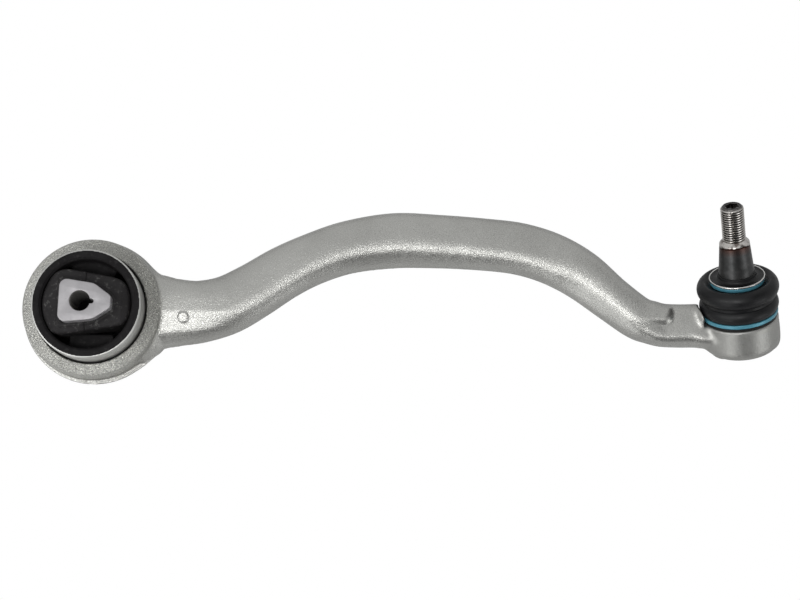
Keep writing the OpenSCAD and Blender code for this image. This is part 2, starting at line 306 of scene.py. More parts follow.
def rounded_outline(corners, steps=8):
    """Outline points of a polygon whose (x, y, radius) corners are rounded by arcs."""
    points = []
    count = len(corners)
    for i, (x, y, radius) in enumerate(corners):
        here = np.array((x, y), float)
        before = np.array(corners[i - 1][:2]) - here
        after = np.array(corners[(i + 1) % count][:2]) - here
        before /= np.linalg.norm(before)
        after /= np.linalg.norm(after)
        half = math.acos(np.clip(before @ after, -1, 1)) / 2
        middle = (before + after) / np.linalg.norm(before + after)
        centre = here + middle * radius / math.sin(half)
        start = math.atan2(-middle[1], -middle[0])
        for k in range(steps + 1):
            a = start + (k / steps - 0.5) * (math.pi - 2 * half)
            points.append((centre[0] + radius * math.cos(a), centre[1] + radius * math.sin(a)))
    return points


# ------------ distance fields

class Field:
    """A box of grid points, in millimetres, on which distance fields are worked out."""

    def __init__(self, low, high, pitch):
        self.low = np.array(low, float)
        self.pitch = pitch
        counts = np.ceil((np.array(high) - self.low) / pitch).astype(int) + 1
        axes = [self.low[i] + pitch * np.arange(counts[i]) for i in range(3)]
        self.x = axes[0].astype(np.float32)[:, None, None]
        self.y = axes[1].astype(np.float32)[None, :, None]
        self.z = axes[2].astype(np.float32)[None, None, :]
        self.shape = tuple(counts)

    def about(self, centre):
        """Distance in plan from a point, for every grid point."""
        return np.sqrt((self.x - centre[0]) ** 2 + (self.y - centre[1]) ** 2)

    def along(self, origin, axes):
        """Distance from an axis and height along it, for every grid point."""
        dx, dy, dz = self.x - origin[0], self.y - origin[1], self.z - origin[2]
        parts = [dx * np.float32(a[0]) + dy * np.float32(a[1]) + dz * np.float32(a[2]) for a in axes]
        return np.sqrt(parts[0] ** 2 + parts[1] ** 2), parts[2]

    def skin(self, name, values, material):
        """The zero surface of a field as a mesh object."""
        grid = openvdb.FloatGrid(background=float(self.pitch * 4))
        grid.copyFromArray(np.array(np.broadcast_to(values, self.shape), np.float32))
        points, quads = grid.convertToQuads(isovalue=0.0)
        points = points * self.pitch + self.low
        corner = points[quads]
        volume = np.einsum(
            "ij,ij->", corner[:, 0], np.cross(corner[:, 1] - corner[:, 0], corner[:, 2] - corner[:, 0])
        )
        if volume < 0:
            quads = quads[:, ::-1]
        return make_object(name, points, quads.tolist(), material, FIELD_SHARP)


def soft_min(a, b, k):
    """Union of two fields with a fillet of about k."""
    h = np.clip(0.5 + 0.5 * (b - a) / k, 0, 1)
    return b * (1 - h) + a * h - k * h * (1 - h)


def soft_max(a, b, k):
    """Intersection of two fields with an edge rounded by about k."""
    return -soft_min(-a, -b, k)


def spline(stations, steps):
    """Smooth curve through rows of numbers, with so many steps from one row to the next."""
    rows = np.array(stations, float)
    rows = np.vstack([2 * rows[0] - rows[1], rows, 2 * rows[-1] - rows[-2]])
    out = []
    for i in range(1, len(rows) - 2):
        a, b, c, d = rows[i - 1 : i + 3]
        for t in np.arange(steps) / steps:
            out.append(0.5 * (
                2 * b + (c - a) * t + (2 * a - 5 * b + 4 * c - d) * t**2
                + (3 * b - a - 3 * c + d) * t**3
            ))
    out.append(rows[-2])
    return np.array(out)


def bar_field(grid):
    """The forged bar: a rounded section that travels along the curve through the BAR stations."""
    line = spline(BAR, BAR_STEPS)
    heading = np.gradient(line[:, :2], axis=0)
    heading /= np.linalg.norm(heading, axis=1)[:, None]
    flat = np.stack(np.broadcast_arrays(grid.x[:, :, 0], grid.y[:, :, 0]), axis=-1).reshape(-1, 2)
    nearest = np.full(len(flat), np.inf)
    index = np.zeros(len(flat), int)
    for start in range(0, len(line), SEARCH):
        part = line[start : start + SEARCH, :2]
        gap = ((flat[:, None, :] - part[None]) ** 2).sum(-1)
        best = gap.argmin(1)
        closer = gap[np.arange(len(flat)), best] < nearest
        nearest[closer] = gap[np.arange(len(flat)), best][closer]
        index[closer] = best[closer] + start
    offset = flat - line[index, :2]
    aim = heading[index]
    ahead = (offset * aim).sum(1)
    across = offset[:, 1] * aim[:, 0] - offset[:, 0] * aim[:, 1]
    beyond = np.where(index == 0, -ahead, np.where(index == len(line) - 1, ahead, -np.inf))

    def spread(column):
        return column.reshape(grid.shape[0], grid.shape[1], 1).astype(np.float32)

    half_w = spread(line[index, 2] / 2)
    half_d = spread(line[index, 3] / 2)
    u = spread(across)
    height = np.abs(grid.z - np.float32(MID_Z))
    a = np.abs(u) / half_w
    b = height / half_d
    # the section grows squarer towards the eye
    power = np.float32(SECTION_POWER) + SQUARER * np.clip((SQUARE_FROM - grid.x) / SQUARE_OVER, 0, 1)
    total = np.maximum(a**power + b**power, 1e-6) ** (1 / power)
    slope_a = (a / total) ** (power - 1) / half_w
    slope_b = (b / total) ** (power - 1) / half_d
    body = (total - 1) / np.sqrt(slope_a**2 + slope_b**2 + 1e-8)
    # the roof: a broad face and a steep face that meet in a rounded ridge
    from_ridge = u + spread(line[index, 4]) * half_w
    above = height - half_d - spread(line[index, 7]) * RIDGE_LIFT
    broad, steep = (spread(np.radians(line[index, column])) for column in (5, 6))
    broad = above * np.cos(broad) + from_ridge * np.sin(broad)
    steep = above * np.cos(steep) - from_ridge * np.sin(steep)
    roof = soft_max(broad, steep, spread(line[index, 7]))
    body = soft_max(body, roof, BAR_EDGE)
    return np.maximum(body, spread(beyond)).astype(np.float32)


def eye_field(grid):
    """The eye: a drafted ring whose faces slope away from the bore."""
    r = grid.about(EYE)
    height = np.abs(grid.z - MID_Z)
    out = grid.about((EYE[0], EYE[1] + EYE_SHIFT_Y))
    wall = (out + height * math.tan(EYE_DRAFT) - EYE_R) * math.cos(EYE_DRAFT)
    crown = (height - EYE_HALF + (r - CROWN_R) * math.tan(CROWN_SLOPE)) * math.cos(CROWN_SLOPE)
    faces = np.maximum(height - EYE_HALF, crown)
    return soft_max(wall, faces, EYE_EDGE)


def pocket_field(grid, r):
    """Recess on the neck, fading out beside the raised pad and walled off from the boot.

    Returns its field and its fade.
    """
    height = grid.z - MID_Z
    past = grid.x - (PAD_END[0] - PAD_R)
    below = PAD_END[1] + PAD_R - grid.y
    from_pad = (
        np.sqrt(np.maximum(past, 0) ** 2 + np.maximum(below, 0) ** 2)
        + np.minimum(np.maximum(past, below), 0) - PAD_R
    )
    fade = np.clip((grid.x - POCKET_FADE_X[0]) / (POCKET_FADE_X[1] - POCKET_FADE_X[0]), 0, 1)
    fade = fade * fade * (3 - 2 * fade)
    floor = PAD_TOP + (POCKET_FLOOR - PAD_TOP) * fade
    wall = -from_pad - POCKET_WALL_SLOPE * (height - floor)
    pocket = soft_max(floor - height, wall, 6.0 - 4.8 * fade)
    boot_side = soft_min(POCKET_END_R - r, grid.y - POCKET_END_Y, 5.0)
    return soft_max(pocket, boot_side, 3.5), fade


def pip_field(grid, body):
    """Generic round forging pip on the +Z face of the bar."""
    pip = np.maximum(grid.about(PIP_AT) - PIP_R, body - PIP_H)
    return np.maximum(pip, MID_Z - grid.z)


def with_housing(body, r, s):
    """The body with the ball joint's housing and spigot, cleared round the boot."""
    housing = soft_max(r - HOUSING_R, -s - HOUSING_DEPTH, HOUSING_EDGE)
    housing = soft_max(housing, s - HOUSING_RIM, 0.8)
    body = soft_min(body, housing, HOUSING_FILLET)
    above = np.maximum(r - BOOT_CUT_R, HOUSING_RIM - s)
    body = soft_max(body, -above, 2.0)
    spigot = np.maximum(r - SPIGOT_R, np.maximum(s - SPIGOT_TOP, -s))
    return np.minimum(body, spigot)


def with_flash(grid, body):
    """The body with its trimmed flash on the parting plane, off centre about the eye."""
    flash = soft_min(body - FLASH_H, grid.about(FLASH_EYE_AT) - FLASH_EYE_R, 3.0)
    flash = np.maximum(flash, np.abs(grid.z - MID_Z) - FLASH_HALF_W)
    return soft_min(body, flash, 0.5)


def with_bores(grid, body, r, s):
    """The body with the bush's bore, the ball's seat and mouth, and the cover's opening."""
    height = np.abs(grid.z - MID_Z)
    bore = grid.about(EYE) - SLEEVE_R - EYE_FIT
    bore = bore - EYE_BREAK * np.clip((height - EYE_HALF + EYE_BREAK_DEPTH) / 0.8, 0, 1)
    cavity = np.maximum(r - SEAT_R, np.maximum(s - SEAT_TOP, SEAT_BOTTOM - s))
    mouth = np.maximum(r - MOUTH_R, -s)
    cover = np.maximum(r - COVER_R, s - COVER_TOP)
    for hole in (bore, cavity, mouth, cover):
        body = np.maximum(body, -hole)
    return body


def arm_field(grid):
    """The whole forging: bar, eye, housing and the marks that forging leaves."""
    r, s = grid.along(BALL, STUD_AXES)
    pocket, fade = pocket_field(grid, r)
    bar = soft_max(bar_field(grid), -pocket, 5.0 - 2.4 * fade)
    # crisp where the ring stands on the bar, well filleted towards the parting plane
    side = np.clip((EYE_FILLET_FROM - np.abs(grid.z - MID_Z)) / 6.0, 0, 1)
    body = soft_min(bar, eye_field(grid), EYE_FILLET + EYE_FILLET_GAIN * side)
    body = soft_min(body, pip_field(grid, body), 0.3)
    body = with_flash(grid, with_housing(body, r, s))
    return with_bores(grid, body, r, s)


# ------------ materials

class Tree:
    """The node tree of a material or a world."""

    def __init__(self, owner):
        owner.use_nodes = True
        self.tree = owner.node_tree

    def add(self, kind, **settings):
        node = self.tree.nodes.new(kind)
        for key, value in settings.items():
            setattr(node, key, value)
        return node

    def fill(self, node, **values):
        """Puts plain values into a node's sockets, whose names have _ for a space."""
        for socket, value in values.items():
            node.inputs[socket.replace("_", " ")].default_value = value

    def link(self, source, target):
        self.tree.links.new(source, target)


class Nodes(Tree):
    """A material's node tree, with short calls for the node kinds used here."""

    def __init__(self, name, **sockets):
        self.material = bpy.data.materials.new(name)
        super().__init__(self.material)
        self.shader = self.tree.nodes["Principled BSDF"]
        self.fill(self.shader, **sockets)
        self.place = self.add("ShaderNodeTexCoord").outputs["Object"]

    def clouds(self, scale, detail):
        """Broad smooth patches, from 0 to 1."""
        return self.ramp(self.noise(scale, detail), 0.3, 0.7, 0, 1)

    def noise(self, scale, detail=2.0, roughness=0.5):
        """Smooth noise from 0 to 1; its scale is in waves for each metre."""
        node = self.add("ShaderNodeTexNoise")
        self.fill(node, Scale=scale, Detail=detail, Roughness=roughness)
        self.link(self.place, node.inputs["Vector"])
        return node.outputs["Fac"]

    def ramp(self, source, low, high, start, end):
        """Straight ramp from start at low to end at high, held level outside them."""
        node = self.add("ShaderNodeMapRange")
        self.fill(node, From_Min=low, From_Max=high, To_Min=start, To_Max=end)
        self.link(source, node.inputs["Value"])
        return node.outputs["Result"]

    def math(self, operation, first, second):
        node = self.add("ShaderNodeMath", operation=operation)
        self.link(first, node.inputs[0])
        self.link(second, node.inputs[1])
        return node.outputs[0]

    def mix(self, factor, first, second):
        node = self.add("ShaderNodeMix", data_type="RGBA")
        sockets = {socket.identifier: socket for socket in node.inputs}
        self.feed(factor, sockets["Factor_Float"])
        self.feed(first, sockets["A_Color"])
        self.feed(second, sockets["B_Color"])
        return [socket for socket in node.outputs if socket.identifier == "Result_Color"][0]

    def feed(self, value, target):
        """Puts a node's output, a colour or a plain value into a socket."""
        if hasattr(value, "is_output"):
            self.link(value, target)
        elif target.type == "RGBA":
            target.default_value = (*value, 1.0)
        else:
            target.default_value = value

    def bump(self, height, distance, strength=1.0, under=None):
        """Normal roughened by a height, on top of another bump's normal if one is given."""
        node = self.add("ShaderNodeBump")
        self.fill(node, Strength=strength, Distance=distance)
        self.link(height, node.inputs["Height"])
        if under is not None:
            self.link(under, node.inputs["Normal"])
        return node.outputs["Normal"]

    def set(self, socket, value):
        self.feed(value, self.shader.inputs[socket])

    def place_from(self, origin):
        """The place less a point in millimetres."""
        shift = self.add("ShaderNodeVectorMath", operation="SUBTRACT")
        self.link(self.place, shift.inputs[0])
        shift.inputs[1].default_value = [v * MM for v in origin]
        return shift.outputs["Vector"]

    def distance_from(self, origin, direction):
        """Distance from an axis, in millimetres, as a node output."""
        cross = self.add("ShaderNodeVectorMath", operation="CROSS_PRODUCT")
        self.link(self.place_from(origin), cross.inputs[0])
        cross.inputs[1].default_value = [v / MM for v in direction]
        length = self.add("ShaderNodeVectorMath", operation="LENGTH")
        self.link(cross.outputs["Vector"], length.inputs[0])
        return length.outputs["Value"]

    def height_along(self, origin, direction):
        """Distance along a direction from a point, in millimetres, as a node output."""
        dot = self.add("ShaderNodeVectorMath", operation="DOT_PRODUCT")
        self.link(self.place_from(origin), dot.inputs[0])
        dot.inputs[1].default_value = [v / MM for v in direction]
        return dot.outputs["Value"]


def alloy_tint(m, near_eye, near_ball, in_bore):
    """Clouded light metal with a sparkle and flakes round the bush, painted shade on one side of the eye's face,
    and the bore and its broken edge painted near black as shade.
    """
    tint = m.mix(m.clouds(28, 3), (0.335, 0.333, 0.316), (0.41, 0.408, 0.388))
    sparkle = m.ramp(m.noise(1500, 2, 0.6), 0.35, 0.7, 0, 0.3)
    tint = m.mix(sparkle, tint, (0.55, 0.55, 0.53))
    flakes = m.math("MULTIPLY", near_eye, m.ramp(m.noise(1400, 2, 0.6), 0.52, 0.66, 0, 0.75))
    tint = m.mix(flakes, tint, (0.80, 0.80, 0.72))
    flakes = m.math("MULTIPLY", near_eye, m.ramp(m.noise(1000, 2, 0.6), 0.46, 0.34, 0, 0.5))
    tint = m.mix(flakes, tint, (0.15, 0.15, 0.13))
    # painted shade: this side of the eye's face is darkened, as the sleeve's shadow would darken it
    painted_shade = m.ramp(m.height_along(EYE, PAINTED_SHADE_SIDE), 4, 34, 0, 0.42)
    tint = m.mix(m.math("MULTIPLY", near_eye, painted_shade), tint, (0.10, 0.098, 0.085))
    pits = m.ramp(m.noise(420, 2, 0.4), 0.76, 0.81, 0, 0.4)
    tint = m.mix(pits, tint, (0.16, 0.16, 0.15))
    # painted shade: the bore and its broken edge by the sleeve are painted near black
    tint = m.mix(in_bore, tint, (0.012, 0.012, 0.011))
    return m.mix(m.ramp(near_ball, 0, 1, 0, 0.3), tint, (0.17, 0.172, 0.165))


def forged_alloy():
    """Blasted forging: sparkling grain that is coarsest round the bush and calmer near the ball."""
    m = Nodes("forged_alloy", Metallic=0.85, Roughness=0.34)
    from_bore = m.distance_from(EYE, UP_AXES[2])
    from_ball = m.distance_from(BALL, STUD_DIR)
    near_eye = m.ramp(from_bore, EYE_R - 2, EYE_R + 1, 1, 0)
    near_ball = m.ramp(from_ball, HOUSING_R, HOUSING_R + 6, 1, 0)
    # mask of the painted shade in the bore's gap, which also takes the metal's shine away there
    in_bore = m.ramp(from_bore, SLEEVE_R + 1.0, SLEEVE_R + 1.6, 1, 0)
    m.set("Base Color", alloy_tint(m, near_eye, near_ball, in_bore))
    m.set("Metallic", m.ramp(in_bore, 0, 1, 0.85, 0))
    matt = m.ramp(near_ball, 0, 1, 0, 0.12)
    m.set("Roughness", m.math("ADD", m.ramp(m.noise(1100, 2, 0.6), 0.3, 0.7, 0.24, 0.36), matt))
    coarse = m.bump(m.noise(850, 3, 0.7), 0.001, 1.0)
    m.feed(near_eye, coarse.node.inputs["Strength"])
    grain = m.bump(m.noise(1150, 3, 0.65), 0.00023, 1.0, coarse)
    m.feed(m.ramp(from_ball, HOUSING_R + 25, HOUSING_R + 55, 0.6, 1), grain.node.inputs["Strength"])
    m.set("Normal", m.bump(m.noise(160, 2, 0.5), 0.0006, 0.3, grain))
    return m.material


def core_alloy():
    """Sawn and lightly blasted light-alloy section, its bore stained dark."""
    m = Nodes("core_alloy", Metallic=0.75, Roughness=0.5)
    tint = m.mix(m.ramp(m.noise(120, 4), 0.35, 0.7, 0, 1), (0.33, 0.322, 0.33), (0.40, 0.39, 0.40))
    scratch = m.ramp(m.noise(260, 5, 0.7), 0.66, 0.72, 0, 0.5)
    tint = m.mix(scratch, tint, (0.20, 0.19, 0.19))
    in_bore = m.ramp(m.distance_from(np.zeros(3), UP_AXES[2]), BORE_R + 0.05, BORE_R + 0.3, 1, 0)
    m.set("Base Color", m.mix(in_bore, tint, (0.34, 0.335, 0.32)))
    m.set("Roughness", m.ramp(m.noise(500, 3), 0.3, 0.7, 0.42, 0.6))
    m.set("Normal", m.bump(m.noise(900, 3, 0.6), 0.0002, 0.25))
    return m.material


def steel(name, tint, rough, metallic=1.0):
    """Plain steel with faint clouds."""
    m = Nodes(name, Metallic=metallic, Roughness=rough)
    dark = tuple(0.82 * v for v in tint)
    m.set("Base Color", m.mix(m.ramp(m.noise(90, 4), 0.3, 0.75, 0, 1), tint, dark))
    m.set("Roughness", m.ramp(m.noise(350, 3, 0.6), 0.3, 0.7, rough * 0.8, rough * 1.25))
    m.set("Normal", m.bump(m.noise(700, 3, 0.6), 0.0001, 0.2))
    return m.material


def stud_tint(m, height, wavy):
    """Phosphated taper, then an oily band, then the bright shoulder and thread, with painted shade in the thread's
    roots and a painted dark reflection on the tip.
    """
    bright = m.mix(m.clouds(150, 4), (0.62, 0.60, 0.57), (0.48, 0.46, 0.44))
    # brown blots on the shoulder below the thread
    blots = m.ramp(m.noise(170, 4, 0.6), 0.5, 0.6, 0, 0.8)
    below = m.ramp(height, THREAD_LOW, THREAD_LOW + 0.4, 1, 0)
    bright = m.mix(m.math("MULTIPLY", blots, below), bright, (0.07, 0.048, 0.04))
    dark = m.mix(m.clouds(220, 4), (0.045, 0.046, 0.046), (0.08, 0.08, 0.08))
    brown = (0.075, 0.045, 0.038)
    tint = m.mix(m.ramp(wavy, STAIN_LOW - 4.5, STAIN_LOW, 0, 1), dark, brown)
    tint = m.mix(m.ramp(wavy, STAIN_LOW + 0.1, STAIN_LOW + 0.4, 0, 1), tint, (0.02, 0.008, 0.006))
    tint = m.mix(m.ramp(wavy, STAIN_LOW + 1.0, STAIN_LOW + 1.6, 0, 1), tint, bright)
    # painted shade in the thread's roots, and a painted dark reflection on the sawn tip
    # painted shade: the thread's roots are darkened by their distance from the axis
    root = m.ramp(m.distance_from(BALL, STUD_DIR), THREAD_R - THREAD_DEPTH, THREAD_R - 0.1, 1, 0)
    threaded = m.ramp(height, THREAD_LOW, THREAD_LOW + 0.4, 0, 0.9)
    tint = m.mix(m.math("MULTIPLY", root, threaded), tint, (0.09, 0.085, 0.082))
    # painted dark reflection: the tip's face and socket are painted near black
    return m.mix(m.ramp(height, STUD_TIP - 0.25, STUD_TIP - 0.1, 0, 1), tint, (0.04, 0.04, 0.04))


def stud_steel():
    """The stud's metal, with a stain whose wavy edge climbs on one side, partly stain and partly painted shade."""
    m = Nodes("stud_steel", Metallic=1.0, Roughness=0.25)
    height = m.height_along(BALL, STUD_DIR)
    edge = m.ramp(m.noise(160, 3), 0, 1, -1.2, 1.2)
    # partly painted shade: the stain's edge is raised on this side to darken it
    climb = m.ramp(m.height_along(BALL, -STUD_AXES[0]), 2.0, 8.0, 0, -1.3)
    wavy = m.math("ADD", m.math("ADD", height, edge), climb)
    m.set("Base Color", stud_tint(m, height, wavy))
    m.set("Roughness", m.ramp(wavy, STAIN_LOW, STAIN_LOW + 1.4, 0.36, 0.22))
    m.set("Normal", m.bump(m.noise(600, 3, 0.6), 0.0001, 0.08))
    return m.material


def rubber(name, tint, rough, scuff=0.0, grain=0.3, gloss=0.2):
    """Black rubber with a moulding skin and, where asked, pale scuffs."""
    m = Nodes(name, Metallic=0.0, Roughness=rough, Specular_IOR_Level=gloss)
    pale = tuple(1.7 * v + 0.004 for v in tint)
    colour = m.mix(m.ramp(m.noise(70, 4), 0.35, 0.75, 0, 0.5), tint, pale)
    if scuff:
        marks = m.ramp(m.noise(300, 5, 0.75), 0.56, 0.68, 0, scuff)
        colour = m.mix(marks, colour, (0.09, 0.088, 0.085))
    m.set("Base Color", colour)
    m.set("Roughness", m.ramp(m.noise(240, 3), 0.3, 0.7, rough * 0.85, min(1.0, rough * 1.15)))
    fine = m.bump(m.noise(900, 3, 0.6), 0.0002, grain)
    m.set("Normal", m.bump(m.noise(200, 2), 0.0004, grain, fine))
    return m.material


def teal_paint():
    """Slightly mottled teal coat of the clamp bands."""
    m = Nodes("clamp_teal", Metallic=0.25, Roughness=0.32)
    shade = m.clouds(300, 3)
    m.set("Base Color", m.mix(shade, (0.06, 0.22, 0.29), (0.08, 0.27, 0.35)))
    m.set("Normal", m.bump(m.noise(500, 3), 0.0001, 0.2))
    return m.material


def plastic(name, tint, rough):
    """Moulded plastic of one colour."""
    m = Nodes(name, Metallic=0.0, Roughness=rough)
    dark = tuple(0.85 * v for v in tint)
    m.set("Base Color", m.mix(m.clouds(140, 3), tint, dark))
    m.set("Normal", m.bump(m.noise(800, 2), 0.0001, 0.2))
    return m.material


def floor_paper():
    """Studio paper: evenly lit and white to the camera, a dimmer bounce to the object."""
    m = Nodes("floor_paper", Metallic=0.0, Roughness=0.9)
    cloud = m.clouds(6, 2)
    m.set("Base Color", m.mix(cloud, (0.60, 0.60, 0.60), (0.62, 0.62, 0.62)))
    paper = m.add("ShaderNodeEmission")
    m.fill(paper, Color=(1, 1, 1, 1))
    seen = m.add("ShaderNodeLightPath").outputs["Is Camera Ray"]
    choice = m.add("ShaderNodeMixShader")
    m.link(seen, choice.inputs[0])
    m.link(m.shader.outputs[0], choice.inputs[1])
    m.link(paper.outputs[0], choice.inputs[2])
    m.link(choice.outputs[0], m.tree.nodes["Material Output"].inputs["Surface"])
    return m.material


ALLOY = forged_alloy()
CORE_METAL = core_alloy()
SLEEVE_STEEL = steel("sleeve_steel", (0.52, 0.52, 0.50), 0.4, metallic=0.8)
RIM_STEEL = steel("rim_steel", (0.72, 0.71, 0.69), 0.22)
HIDDEN_STEEL = steel("hidden_steel", (0.38, 0.38, 0.38), 0.4)
STUD_METAL = stud_steel()
BUSH_RUBBER = rubber("bush_rubber", (0.012, 0.011, 0.0115), 0.62, scuff=0.9, gloss=0.2)
LINING_RUBBER = rubber("lining_rubber", (0.008, 0.0074, 0.0078), 0.7, scuff=0.2, gloss=0.12)
BOOT_RUBBER = rubber("boot_rubber", (0.0035, 0.0036, 0.0042), 0.42, grain=0.1, gloss=0.25)
TEAL = teal_paint()
CHANNEL_PLASTIC = plastic("channel_plastic", (0.03, 0.03, 0.032), 0.5)
SEAT_PLASTIC = plastic("seat_plastic", (0.80, 0.79, 0.74), 0.4)

# ------------ the arm's skin


def build_arm():
    low, high = node_box("arm_forging")
    grid = Field(low - SKIN_ROOM, high + SKIN_ROOM, SKIN_PITCH)
    piece = grid.skin("forged_arm", arm_field(grid), ALLOY)
    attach(piece, "arm")
    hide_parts("arm_forging")


build_arm()

# ------------ the bush

SLEEVE_WALL = 1.8
SLEEVE_EDGE = 0.8
LINING_OUT = SLEEVE_R - SLEEVE_WALL - 0.05
LINING_IN = 27.1
# the block that carries the core; its long sides are each a flat band and a slanting one
BLOCK_R = 26.75
BLOCK_HALF = SLEEVE_HALF + 1.0
BLOCK_EDGE = 2.5
BLOCK_CORNER = 5.0
# side, flat band's distance, slanting band's distance and slope, and X at which the slope starts
BLOCK_SIDES = [(1, 21.6, 18.4, 0.17, 6.0), (-1, 20.2, 16.2, 0.16, 5.0)]
# steps of its face towards the lining: side, X where one starts, its run and its drop
BLOCK_STEPS = [(-1, -17.0, 5.0, 2.0), (1, 23.0, 6.0, 3.0)]
SHEATH = 0.9
SHEATH_END = 0.7
CORE_FIT = 0.4
# pads over the two fluid chambers, and the web in the middle of the bush
VOID_PAD_X = 4.4
VOID_PAD_HALF = 13.2
VOID_PAD_TOP = 15.0
VOID_PAD_FROM_Y = 17.5
VOID_PAD_SHIFT_Y = 0.5
FLOOR_HALF = 3.0
# the rubber block's halves: name, side of the split, X at the core and X at the lining
SPLIT_X = 2.0
HALVES = [("bush_rubber_left", -1, -13.0, -24.5), ("bush_rubber_right", 1, 18.5, 28.5)]


def build_sleeve():
    """Pressed-in steel tube with rolled ends."""
    r, h = SLEEVE_R, SLEEVE_HALF
    inner = r - SLEEVE_WALL
    roll = SLEEVE_EDGE - 0.1
    high_end = arc((r - SLEEVE_EDGE, h - SLEEVE_EDGE), SLEEVE_EDGE, 0, 90, 4)
    high_end += arc((inner + 0.2, h - roll), roll, 90, 190, 5)
    low_end = arc((inner + 0.2, -h + roll), roll, 170, 270, 5)
    low_end += arc((r - SLEEVE_EDGE, -h + SLEEVE_EDGE), SLEEVE_EDGE, 270, 360, 4)
    bore = [(inner - 0.3, h - 1.6), (inner, h - 2.2), (inner, -h + 2.2), (inner - 0.3, -h + 1.6)]
    profile = high_end + bore + low_end
    piece = turned("bush_sleeve_tube", profile, SLEEVE_STEEL, 160, origin=EYE, axes=UP_AXES)
    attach(piece, "arm")
    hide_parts("bush_outer_sleeve")


def band_field(grid, side, flat, slanting, slope, start_x):
    """Distance outside one long side of the rubber block."""
    y = grid.y * side
    return np.maximum(y - flat, (y - slanting) * 0.98 + (grid.x - start_x) * slope)


def core_outline_field(grid):
    """Distance from the core's outline in plan, negative inside."""
    cos, sin = math.cos(CORE_TURN), math.sin(CORE_TURN)
    turn = np.array([[cos, -sin], [sin, cos]])
    corners = np.array([corner[:2] for corner in CORE], float) @ turn.T
    field = None
    for i, here in enumerate(corners):
        along = corners[(i + 1) % len(corners)] - here
        along /= np.linalg.norm(along)
        side = (grid.x - here[0]) * along[1] - (grid.y - here[1]) * along[0]
        field = side if field is None else soft_max(field, side, 3.0)
    return field


def block_field(grid):
    """The rubber block between the two chambers, with the core's space left free."""
    outline = grid.about(EYE) - BLOCK_R
    for band in BLOCK_SIDES:
        outline = soft_max(outline, band_field(grid, *band), BLOCK_CORNER)
    face = BLOCK_HALF
    for side, start, run, drop in BLOCK_STEPS:
        face = face - drop * np.clip((grid.x - start) * side / run, 0, 1)
    body = soft_max(outline, (np.abs(grid.z) - face) * 0.93, BLOCK_EDGE)
    # rubber climbs the core almost to its end
    core = core_outline_field(grid)
    sheath = soft_max(core - SHEATH, np.abs(grid.z) - CORE_HALF + SHEATH_END, 0.6)
    body = soft_min(body, sheath, 5.0)
    return np.maximum(body, -core - CORE_FIT)


def lining_field(grid):
    """Rubber that lines the sleeve, with a lip at its ends, pads over the chambers and a web."""
    r = grid.about(EYE)
    tube = np.maximum(r - LINING_OUT, LINING_IN - r)
    tube = soft_max(tube, np.abs(grid.z) - SLEEVE_HALF + 0.2 + (LINING_OUT - r) * 0.25, 0.8)
    # moulding flash left over the inner part of the sleeve's end
    lip = np.maximum(r - SLEEVE_R + SLEEVE_EDGE, LINING_IN + 1.0 - r)
    lip = soft_max(lip, np.abs(np.abs(grid.z) - SLEEVE_HALF) - 0.3, 0.3)
    tube = soft_min(tube, lip, 0.4)
    floor = np.maximum(r - LINING_OUT + 0.5, np.abs(grid.z) - FLOOR_HALF)
    pads = np.maximum(np.abs(grid.x - VOID_PAD_X) - VOID_PAD_HALF, np.abs(grid.z) - VOID_PAD_TOP)
    pads = soft_max(pads, r - LINING_IN - 0.5, 1.0)
    pads = soft_max(pads, VOID_PAD_FROM_Y - np.abs(grid.y - VOID_PAD_SHIFT_Y), 1.5)
    return soft_min(soft_min(tube, floor, 2.5), pads, 2.5)


def build_rubber():
    reach = np.array((SLEEVE_R + 1, SLEEVE_R + 1, SLEEVE_HALF + 3))
    grid = Field(EYE - reach, EYE + reach, RUBBER_PITCH)
    block = block_field(grid)
    # each half, which the real bush bonds to the core and to the lining, is cut at the split and baked in place
    for name, side, core_x, outer_x in HALVES:
        half = grid.skin(name, np.maximum(block, side * (SPLIT_X - grid.x)), BUSH_RUBBER)
        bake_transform(half)
        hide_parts("bush_rubber")
    lining = grid.skin("bush_rubber_lining", lining_field(grid), LINING_RUBBER)
    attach(lining, "arm")


def build_core():
    """Extruded section with a bolt bore and its locating slot, edges slightly broken."""
    edge = 0.5
    outline = rounded_outline(CORE, 10)
    slot = math.degrees(math.asin(SLOT_W / 2 / BORE_R))
    bore = arc((0, 0), BORE_R, slot, 360 - slot, 63)
    bore += arc((SLOT_REACH - SLOT_W / 2, 0), SLOT_W / 2, -90, 90, 9)
    curve = bpy.data.curves.new("core_outline", "CURVE")
    curve.dimensions = "2D"
    curve.fill_mode = "BOTH"
    curve.extrude = (CORE_HALF - edge) * MM
    curve.bevel_depth = edge * MM
    curve.bevel_resolution = 2
    curve.offset = -edge * MM
    for loop in (outline, bore):
        path = curve.splines.new("POLY")
        path.points.add(len(loop) - 1)
        for point, (x, y) in zip(path.points, loop):
            point.co = (x * MM, y * MM, 0, 1)
        path.use_cyclic_u = True
    holder = new_object("core_holder", curve)
    mesh = bpy.data.meshes.new_from_object(holder)
    bpy.data.objects.remove(holder)
    mesh.transform(Matrix.Rotation(CORE_TURN, 4, "Z"))
    mesh.materials.clear()
    mesh.materials.append(CORE_METAL)
    piece = new_object("bush_core_section", mesh)
    weld(piece)
    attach(piece, "bush_core")
    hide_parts("bush_inner_core")


build_sleeve()
build_rubber()
build_core()

# ------------ the ball joint

